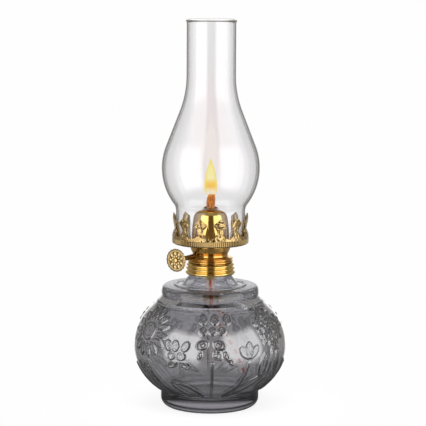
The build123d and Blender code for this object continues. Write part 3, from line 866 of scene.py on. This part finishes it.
def brass(name, bright, film, shine, wear):
    """A brass finish. Returns the material, its tree and its shader, so that more can be added."""
    material, tree, out = new_material(name)
    marks = tree.nodes.new("ShaderNodeGroup")
    marks.node_tree = worn
    marks.inputs["Bright"].default_value = (*bright, 1)
    marks.inputs["Film"].default_value = (*film, 1)
    marks.inputs["Shine"].default_value = shine
    marks.inputs["Wear"].default_value = wear
    metal = node(
        tree, "ShaderNodeBsdfPrincipled", Metallic=1.0,
        Base_Color=marks.outputs["Color"], Roughness=marks.outputs["Roughness"]
    )
    tree.links.new(metal.outputs[0], out.inputs["Surface"])
    return material, tree, metal


def repaint(tree, metal, share, colour):
    """Blends a colour over what the shader has as its Base Color."""
    now = metal.inputs["Base Color"].links[0].from_socket
    tree.links.new(blend_colour(tree, share, now, colour), metal.inputs["Base Color"])


# %% [markdown]
# The dome and the knob's rivet are the brightest brass. Towards their edges the finish is painted from bright
# metal to a dull brown, as painted shade. Clean brass doesn't do that. It gives the dome a brown outline in
# this studio.

# %% Polished and plain brass
polished, tree, metal = brass("polished_brass", (0.83, 0.56, 0.17), (0.5, 0.27, 0.07), 0.05, 0.2)
slant = edge_on(tree)
# Painted shade: the edges are painted dark brown and stop being metal.
repaint(tree, metal, spread(tree, slant, 0.3, 0.7), (0.34, 0.15, 0.03, 1))
metal.inputs["Specular Tint"].default_value = (0.7, 0.42, 0.16, 1)
metal.inputs["Specular IOR Level"].default_value = 0.05
tree.links.new(spread(tree, slant, 0.7, 0.8, 1.0, 0.0), metal.inputs["Metallic"])
satin = brass("satin_brass", (0.74, 0.53, 0.19), (0.5, 0.3, 0.09), 0.09, 0.4)[0]
deep = brass("deep_brass", (0.64, 0.38, 0.11), (0.4, 0.2, 0.05), 0.1, 0.4)[0]
dark_brass = brass("dark_brass", (0.3, 0.23, 0.15), (0.13, 0.09, 0.06), 0.22, 0.6)[0]
plain_brass = brass("plain_brass", (0.62, 0.42, 0.16), (0.3, 0.18, 0.08), 0.24, 0.6)[0]

# %% [markdown]
# The gallery and the knob are thin sheet, stamped in a press: ribs around the lower band, and scrolls with
# small dimples on the leaves. The ribs follow the angle about the axis, so they are a wave of that angle.
# The scrolls are the edges of stretched cells. A Bump node bends the light over the pattern, and its dips are
# painted darker.

# %% Stamped brass
def stamp(tree, metal, height, depth):
    """Presses a pattern of heights from 0 to 1 into a brass, to a depth in millimetres, with dark dips."""
    repaint(tree, metal, spread(tree, height, 0.25, 0.7, 0.8, 0.0), (0.12, 0.07, 0.02, 1))
    relief = node(tree, "ShaderNodeBump", Strength=1.0, Distance=depth * MM, Height=height)
    tree.links.new(relief.outputs[0], metal.inputs["Normal"])


rib_count = 120.0
rib_band = 4.6
swirl = 0.004

stamped, tree, metal = brass("stamped_brass", (0.55, 0.39, 0.17), (0.3, 0.18, 0.06), 0.12, 0.8)
place = object_place(tree)
parts = node(tree, "ShaderNodeSeparateXYZ", in0=place)
angle = maths(tree, "ARCTAN2", parts.outputs["Y"], parts.outputs["X"])
waves = maths(tree, "SINE", maths(tree, "MULTIPLY", angle, rib_count))
ribs = spread(tree, waves, -1.0, 1.0)
band_end = bottom("gallery") + rib_band * MM
on_band = spread(tree, parts.outputs["Z"], band_end, band_end + 0.8 * MM, 1.0, 0.0)
warp = node(tree, "ShaderNodeTexNoise", Vector=place, Scale=300, Detail=1)
stretched = node(
    tree, "ShaderNodeVectorMath", "MULTIPLY_ADD",
    in0=warp.outputs["Color"], in1=(swirl, swirl, swirl), in2=place
)
cells = node(tree, "ShaderNodeTexVoronoi", Vector=stretched.outputs[0], Scale=200)
cells.feature = "DISTANCE_TO_EDGE"
scrolls = spread(tree, cells.outputs["Distance"], 0.02, 0.22, 0.5, 1.0)
pattern = node(tree, "ShaderNodeMix", in0=on_band, in2=scrolls, in3=ribs)
stamp(tree, metal, pattern.outputs[0], 0.5)

# %% Stamped knob
knob_brass, tree, metal = brass("knob_brass", (0.72, 0.54, 0.27), (0.3, 0.18, 0.06), 0.24, 0.8)
stamp(tree, metal, attribute(tree, "raised"), 0.15)
print("brasses:", polished.name, plain_brass.name, stamped.name)

# %% [markdown]
# ## Polished turned pieces
#
# The dome, the shell and the collar are mirror-bright, so they are spun again as smooth shapes. Facets
# that no one sees on a plain solid would show in a mirror. The dome follows its solid's outline. The shell's
# flange gets a groove and the collar gets three round rings, which differ a little from their solids, so
# that rings show in the reflections.

# %% Dome
def skin(line, thickness):
    """The outline of a sheet: the line, and the same line moved to its left, going back."""
    return line + moved_left(line, thickness)[::-1]


sheet = 0.8
dome_foot = bottom("dome") / MM
dome_rise = (top("dome") - bottom("dome")) / MM + sheet
dome_line = rounded(
    [(18.7, dome_foot), (18.7, dome_foot + dome_rise * 0.12), (16.4, dome_foot + dome_rise * 0.27),
     (14.4, dome_foot + dome_rise * 0.65), (12.4, dome_foot + dome_rise * 0.84),
     (5.3, dome_foot + dome_rise - sheet)],
    [4, 8, 16, 5.6], steps=14
)
dome = turned("dome_sheet", skin(dome_line, sheet), steps=128)
dome.data.materials.append(polished)

# %% Shell
shell_foot = bottom("burner_shell") / MM
shell_top = top("burner_shell") / MM
shell_line = rounded(
    [(17.6, shell_foot), (18.7, shell_foot + 0.9), (18.7, shell_foot + 1.7), (17.3, shell_foot + 2.5),
     (18.7, shell_foot + 3.3), (18.6, shell_foot + 4.1), (14.6, shell_foot + 5.2), (14.5, shell_foot + 6.9),
     (16.1, shell_foot + 10.3), (17.0, shell_top - 1.6), (17.0, shell_top)],
    [0.4, 0.3, 0.3, 0.3, 0.8, 0.6, 1.5, 1.0, 1.0], steps=7
)
shell = crisp(turned("shell_sheet", skin(shell_line, sheet), steps=128))
shell.data.materials.append(deep)

# %% Collar
collar_foot = bottom("collar") / MM
collar_top = top("collar") / MM
collar_line = rounded(
    [(17.05, collar_foot), (19.7, collar_foot), (20.6, collar_foot + 1.2), (20.6, collar_foot + 2.2),
     (18.7, collar_foot + 3.6), (20.2, collar_foot + 4.6), (20.2, collar_foot + 5.4),
     (18.4, collar_foot + 6.7), (19.7, collar_foot + 7.6), (19.7, collar_foot + 8.4), (18.2, collar_top)],
    [0.5, 0.8, 0.8, 0.3, 0.6, 0.6, 0.3, 0.5, 0.5], steps=7
)
collar = crisp(turned("collar_sheet", skin(collar_line, sheet), steps=128))
collar.data.materials.append(satin)
print("turned:", dome.name, shell.name, collar.name)

# %% [markdown]
# ## Pieces that keep their solid's shape
#
# The gallery, the knob's hub and rivet, the tube and the small parts already have the right shape. Their
# solids come in as loose triangles, so each gets a copy with its points merged, smooth shading and crisp
# edges.

# %% Dress a solid
def dressed(node_name, finish, degrees=30):
    """A smooth copy of a solid with its points merged."""
    shape = bmesh.new()
    shape.from_mesh(frame["nodes"][node_name].data)
    bmesh.ops.remove_doubles(shape, verts=shape.verts[:], dist=1e-6)
    piece = object_from(node_name + "_metal", shape)
    piece.data.shade_smooth()
    crisp(piece, degrees)
    piece.data.materials.clear()
    piece.data.materials.append(finish)
    return piece


gallery = dressed("gallery", stamped)
sleeve = dressed("spindle_sleeve", dark_brass)
hub = dressed("knob_hub", stamped)
rivet = dressed("knob_rivet", polished)
tube = dressed("wick_tube", plain_brass)
skirt = dressed("screw_skirt", plain_brass)

# %% [markdown]
# The spindle is drawn steel wire: a metal whose colour and roughness vary finely. The plaster that holds
# the collar is matt and gritty, and the same noise gives its colour and its bumps.

# %% Steel and plaster
steel, tree, out = new_material("steel_wire")
drawn = node(tree, "ShaderNodeTexNoise", Vector=object_place(tree), Scale=1200, Detail=3).outputs["Fac"]
metal = node(
    tree, "ShaderNodeBsdfPrincipled", Metallic=1.0, Roughness=spread(tree, drawn, 0.0, 1.0, 0.2, 0.4),
    Base_Color=ramp(tree, drawn, (0.3, (0.5, 0.45, 0.38)), (0.7, (0.66, 0.62, 0.56)))
)
tree.links.new(metal.outputs[0], out.inputs["Surface"])
spindle = dressed("spindle", steel)

plaster, tree, out = new_material("plaster")
grit = node(tree, "ShaderNodeTexNoise", Vector=object_place(tree), Scale=1500, Detail=5).outputs["Fac"]
bumps = node(tree, "ShaderNodeBump", Strength=0.5, Distance=0.0002, Height=grit)
paste = node(
    tree, "ShaderNodeBsdfPrincipled", Roughness=0.9, Normal=bumps.outputs[0],
    Base_Color=ramp(tree, grit, (0.3, (0.68, 0.64, 0.56)), (0.7, (0.86, 0.83, 0.76)))
)
tree.links.new(paste.outputs[0], out.inputs["Surface"])
cement = dressed("collar_cement", plaster)

# %% Hidden brass keeps its solids
for name in ("base_plate", "wheel_bracket", "star_wheel_outer", "star_wheel_inner", "air_diffuser"):
    mesh = frame["nodes"][name].data
    mesh.materials.clear()
    mesh.materials.append(plain_brass)

# %% [markdown]
# ## The knob
#
# The knob is a disc of thin brass with a scalloped edge, stamped with a wheel of petals. It is drawn flat:
# a fine disc whose outer ring is drawn in between the scallops, and whose face is raised by the petal
# pattern. The same pattern is kept as an attribute, and darkens the dips. Then the disc is stood across
# the spindle.

# %% Petals of the knob
knob_near = 35.8
knob_disc = 9.5
knob_thick = 0.9
lobes = 18


def petal_wheel(distance, turn):
    """Height of the stamped face, 0 to 1, at this distance from the middle and this angle."""
    reach = distance / knob_disc
    petals = 0.5 + 0.5 * math.cos(9 * turn)
    inner = 0.5 + 0.5 * math.cos(9 * turn + math.pi)
    ring = math.exp(-((reach - 0.82) / 0.06) ** 2)
    outer_row = math.exp(-((reach - 0.58) / 0.15) ** 2) * petals ** 1.5
    inner_row = math.exp(-((reach - 0.34) / 0.1) ** 2) * inner
    beads = math.exp(-((reach - 0.93) / 0.04) ** 2) * (0.5 + 0.5 * math.cos(36 * turn))
    return max(ring * 0.7, outer_row, inner_row * 0.9, beads * 0.6)


# %% Knob
ring_count = 15
ring_step = 0.55
scallop_depth = 0.035
face_relief = 0.6
edge_height = 0.8

shape = bmesh.new()
bmesh.ops.create_circle(shape, cap_ends=True, segments=144, radius=knob_disc)
for ring in range(ring_count):
    middle_face = max(shape.faces, key=lambda face: len(face.verts))
    bmesh.ops.inset_region(
        shape, faces=[middle_face], thickness=ring_step, use_boundary=True, use_even_offset=True
    )
bmesh.ops.solidify(shape, geom=shape.faces[:], thickness=-knob_thick)
for vert in shape.verts:
    distance = math.hypot(vert.co.x, vert.co.y)
    turn = math.atan2(vert.co.y, vert.co.x)
    if distance > knob_disc - 0.8:
        vert.co.xy *= 1 - scallop_depth * (1 - abs(math.cos(lobes / 2 * turn)))
    vert.co.z += face_relief * petal_wheel(distance, turn)
bmesh.ops.recalc_face_normals(shape, faces=shape.faces[:])
raised_layer = shape.verts.layers.float.new("raised")
for vert in shape.verts:
    distance = math.hypot(vert.co.x, vert.co.y)
    turn = math.atan2(vert.co.y, vert.co.x)
    vert[raised_layer] = petal_wheel(distance, turn) if distance < knob_disc - 0.4 else edge_height

# %% Stand the knob across its spindle
knob_joint = next(joint for joint in frame["joints"] if joint["name"] == "knob_turn")
outward = Vector(knob_joint["axis"]).normalized()
pivot = Vector(knob_joint["pos_m"])
stand = Matrix((Vector((outward.y, -outward.x, 0)), Vector((0, 0, 1)), outward)).transposed().to_4x4()
move = Matrix.Translation(pivot + outward * knob_near * MM)
bmesh.ops.transform(shape, matrix=move @ stand @ Matrix.Scale(MM, 4), verts=shape.verts[:])
knob = object_from("knob_disc", shape)
knob.data.shade_smooth()
knob.data.materials.append(knob_brass)
print("knob faces:", len(knob.data.polygons))

# %% [markdown]
# ## The wick
#
# The wick is a round braid of cotton, as thick as a pencil. A braid is two families of strands that wind
# in opposite directions and cross over and under. The same function makes the straight wick in the burner
# and the tail in the font: rings of points are carried along a line, and each point is pushed out where a
# strand lies on top. Two attributes, along and around, carry the coloured tracer thread.

# %% Braid
wick_radius = 3.7
strands = 6
strand_twist = 1.9
strand_depth = 0.42


def braided(name, line, radius, sides=48, ring_gap=0.45):
    """A braided cord along a line of points, in metres, with its ends closed."""
    lengths = [0.0]
    for a, b in zip(line, line[1:]):
        lengths.append(lengths[-1] + (b - a).length / MM)
    rings = max(2, round(lengths[-1] / ring_gap))
    shape = bmesh.new()
    bmesh.ops.create_circle(shape, cap_ends=True, segments=sides, radius=1)
    edges = shape.edges[:]
    for ring in range(rings):
        grown = bmesh.ops.extrude_edge_only(shape, edges=edges)["geom"]
        edges = [part for part in grown if isinstance(part, bmesh.types.BMEdge) and len(part.link_faces) == 1]
        points = [part for part in grown if isinstance(part, bmesh.types.BMVert)]
        bmesh.ops.translate(shape, verts=points, vec=(0, 0, 1))
    bmesh.ops.holes_fill(shape, edges=edges, sides=0)
    bmesh.ops.recalc_face_normals(shape, faces=shape.faces[:])
    piece = object_from(name, shape)
    across = Vector((1, 0, 0))
    along_values = []
    around_values = []
    for vert in piece.data.vertices:
        step = round(vert.co.z)
        along = lengths[-1] * step / rings
        index = min(max(np.searchsorted(lengths, along), 1), len(line) - 1)
        share = (along - lengths[index - 1]) / (lengths[index] - lengths[index - 1])
        middle = line[index - 1].lerp(line[index], share)
        run = (line[min(index + 1, len(line) - 1)] - line[max(index - 2, 0)]).normalized()
        side = (across - run * run.dot(across)).normalized()
        other = run.cross(side)
        turn = math.atan2(vert.co.y, vert.co.x)
        twist = along * strand_twist
        over = 0.5 + 0.5 * math.sin(strands * turn + twist) * math.sin(strands * turn - twist)
        out = (radius - strand_depth + strand_depth * over) * MM
        vert.co = middle + (side * math.cos(turn) + other * math.sin(turn)) * out
        along_values.append(along)
        around_values.append(turn / math.tau)
    for label, values in (("along", along_values), ("around", around_values)):
        piece.data.attributes.new(label, "FLOAT", "POINT").data.foreach_set("value", values)
    piece.data.shade_smooth()
    return piece


tail = braided("wick_tail_braid", tail_line, wick_radius)

# %% [markdown]
# The straight wick ends in the flame. Its last 9 mm are burnt: they narrow to a ragged stub that leans a
# little to one side. The braid is made first and its top points are moved after it, so that the strands
# shrink with it.

# %% Straight wick with a burnt top
wick_foot = bottom("wick")
wick_end = top("wick")
burnt_length = 9 * MM
short_by = 1.5 * MM
line_steps = 40

straight = wick_end - short_by - wick_foot
upright = [Vector((0, 0, wick_foot + straight * step / line_steps)) for step in range(line_steps + 1)]
wick = braided("wick_braid", upright, wick_radius)
for vert in wick.data.vertices:
    burnt = (vert.co.z - (wick_end - burnt_length)) / burnt_length
    if burnt > 0:
        turn = math.atan2(vert.co.y, vert.co.x)
        ragged = 1 + 0.2 * burnt * math.sin(3 * turn + 1) + 0.16 * burnt * math.sin(7 * turn)
        vert.co.xy *= (1 - 0.55 * burnt ** 2.2) * ragged
        vert.co.x += 0.9 * MM * burnt ** 2
        vert.co.z += 1.3 * MM * burnt ** 2
print("braids:", len(tail.data.vertices), "and", len(wick.data.vertices), "points")

# %% [markdown]
# The cotton is off-white, with a red tracer thread in dashes on two sides. Above the dome it is singed.
# It also gives off some light of its own: faintly in the font, where the smoked glass would otherwise hide
# it, and at the burnt top, which glows. The first of these isn't how cotton behaves. With the burner
# lifted out of the font, the tail looks brighter than it should.

# %% Cotton
dash_length = 8.5
tail_glow = 0.3
ember_glow = 0.36

cotton, tree, out = new_material("cotton")
level = height_up(tree)
dashes = maths(tree, "SINE", maths(tree, "MULTIPLY", attribute(tree, "along"), math.tau / dash_length))
around_angle = maths(tree, "MULTIPLY", attribute(tree, "around"), math.tau)
front_and_back = maths(tree, "ABSOLUTE", maths(tree, "SINE", around_angle))
tracer = maths(
    tree, "MULTIPLY", spread(tree, dashes, -0.15, 0.05), spread(tree, front_and_back, 0.93, 0.97)
)
fibres = node(tree, "ShaderNodeTexNoise", Vector=object_place(tree), Scale=1600, Detail=3).outputs["Fac"]
clean = ramp(tree, fibres, (0.3, (0.8, 0.74, 0.68)), (0.7, (0.95, 0.92, 0.88)))
dyed = blend_colour(tree, tracer, clean, (0.6, 0.03, 0.03, 1))
# Painted shade: the cord is painted darker and redder where it is seen edge on.
edge_shaded_cloth = blend_colour(tree, spread(tree, edge_on(tree), 0.3, 0.75), dyed, (0.8, 0.4, 0.38, 1))
singed = ramp(tree, fibres, (0.4, (0.2, 0.035, 0.005)), (0.5, (0.8, 0.2, 0.02)), (0.62, (0.98, 0.44, 0.07)))
dome_top = top("dome")
heat = spread(tree, level, dome_top - 3 * MM, dome_top + 1 * MM)
# Painted light: the part of the tail in the font glows a little.
font_glow = spread(tree, level, dome_top - 50 * MM, dome_top - 40 * MM, tail_glow, 0.0)
burnt_cloth = blend_colour(tree, heat, edge_shaded_cloth, singed)
fuzz = node(tree, "ShaderNodeBump", Strength=0.6, Distance=0.0003, Height=fibres)
cloth = node(
    tree, "ShaderNodeBsdfPrincipled", Roughness=0.9, Sheen_Weight=0.3, Base_Color=burnt_cloth,
    Emission_Color=burnt_cloth, Emission_Strength=maths(tree, "MULTIPLY_ADD", heat, ember_glow, font_glow),
    Normal=fuzz.outputs[0]
)
tree.links.new(cloth.outputs[0], out.inputs["Surface"])
for piece in (tail, wick):
    piece.data.materials.append(cotton)

# %% [markdown]
# ## The flame
#
# A flame is light without a surface: thin and almost clear at its foot, orange just above the wick, and
# yellow higher up, where soot glows. It is a turned teardrop that gives off light and is see-through at
# its foot. The warmth around it in the chimney is painted into the clear glass above.

# %% Flame
flame_tall = 30.5
flame_base = wick_end / MM - 1.0
flame_line = rounded(
    [(0, flame_base), (5.0, flame_base), (5.5, flame_base + 9), (3.5, flame_base + 20),
     (0, flame_base + flame_tall)],
    [2.2, 14, 18], steps=12
)
flame = turned("flame", flame_line, steps=48)
burning, tree, out = new_material("flame")
rise = spread(tree, height_up(tree), wick_end, wick_end + flame_tall * MM)
core = ramp(
    tree, rise,
    (0.0, (1.0, 0.93, 0.72)), (0.1, (1.0, 0.86, 0.5)), (0.22, (1.0, 0.6, 0.12)), (0.32, (1.0, 0.72, 0.18)),
    (0.44, (1.0, 0.96, 0.5)), (0.8, (1.0, 0.93, 0.36)), (1.0, (1.0, 0.82, 0.3))
)
outer_flame = blend_colour(tree, spread(tree, edge_on(tree), 0.1, 0.6), core, (1.0, 0.82, 0.24, 1))
gas = node(
    tree, "ShaderNodeBsdfPrincipled", Roughness=1.0, Base_Color=(0, 0, 0, 1), Specular_IOR_Level=0.0,
    Emission_Color=outer_flame, Emission_Strength=1.0, Alpha=spread(tree, rise, -0.03, 0.14, 0.15, 1.0)
)
tree.links.new(gas.outputs[0], out.inputs["Surface"])
flame.data.materials.append(burning)

# %% [markdown]
# ## Put the pieces together
#
# Each piece stands for its solid and rides on its body, so that it moves with the lamp's joints: the
# chimney lifts, the burner comes off with everything it carries, and the knob moves the wick. The flame
# stands for no solid, and rides with the wick.

# %% Bodies and slots
placed = {
    "collar": (collar, "font_body", "polished_brass"),
    "collar_cement": (cement, "font_body", "plaster"),
    "dome": (dome, "burner", "polished_brass"),
    "burner_shell": (shell, "burner", "polished_brass"),
    "gallery": (gallery, "burner", "stamped_brass"),
    "spindle_sleeve": (sleeve, "burner", "polished_brass"),
    "wick_tube": (tube, "burner", "plain_brass"),
    "screw_skirt": (skirt, "burner", "plain_brass"),
    "spindle": (spindle, "wick_knob", "steel_wire"),
    "knob": (knob, "wick_knob", "stamped_brass"),
    "knob_hub": (hub, "wick_knob", "stamped_brass"),
    "knob_rivet": (rivet, "wick_knob", "polished_brass"),
    "wick": (wick, "wick_body", "cotton"),
    "wick_tail": (tail, "wick_body", "cotton"),
}
for node_name, (piece, body, finish) in placed.items():
    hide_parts(node_name)
    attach(piece, body)
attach(flame, "wick_body")
print("placed", len(placed) + len((font, chimney, flame)), "pieces")
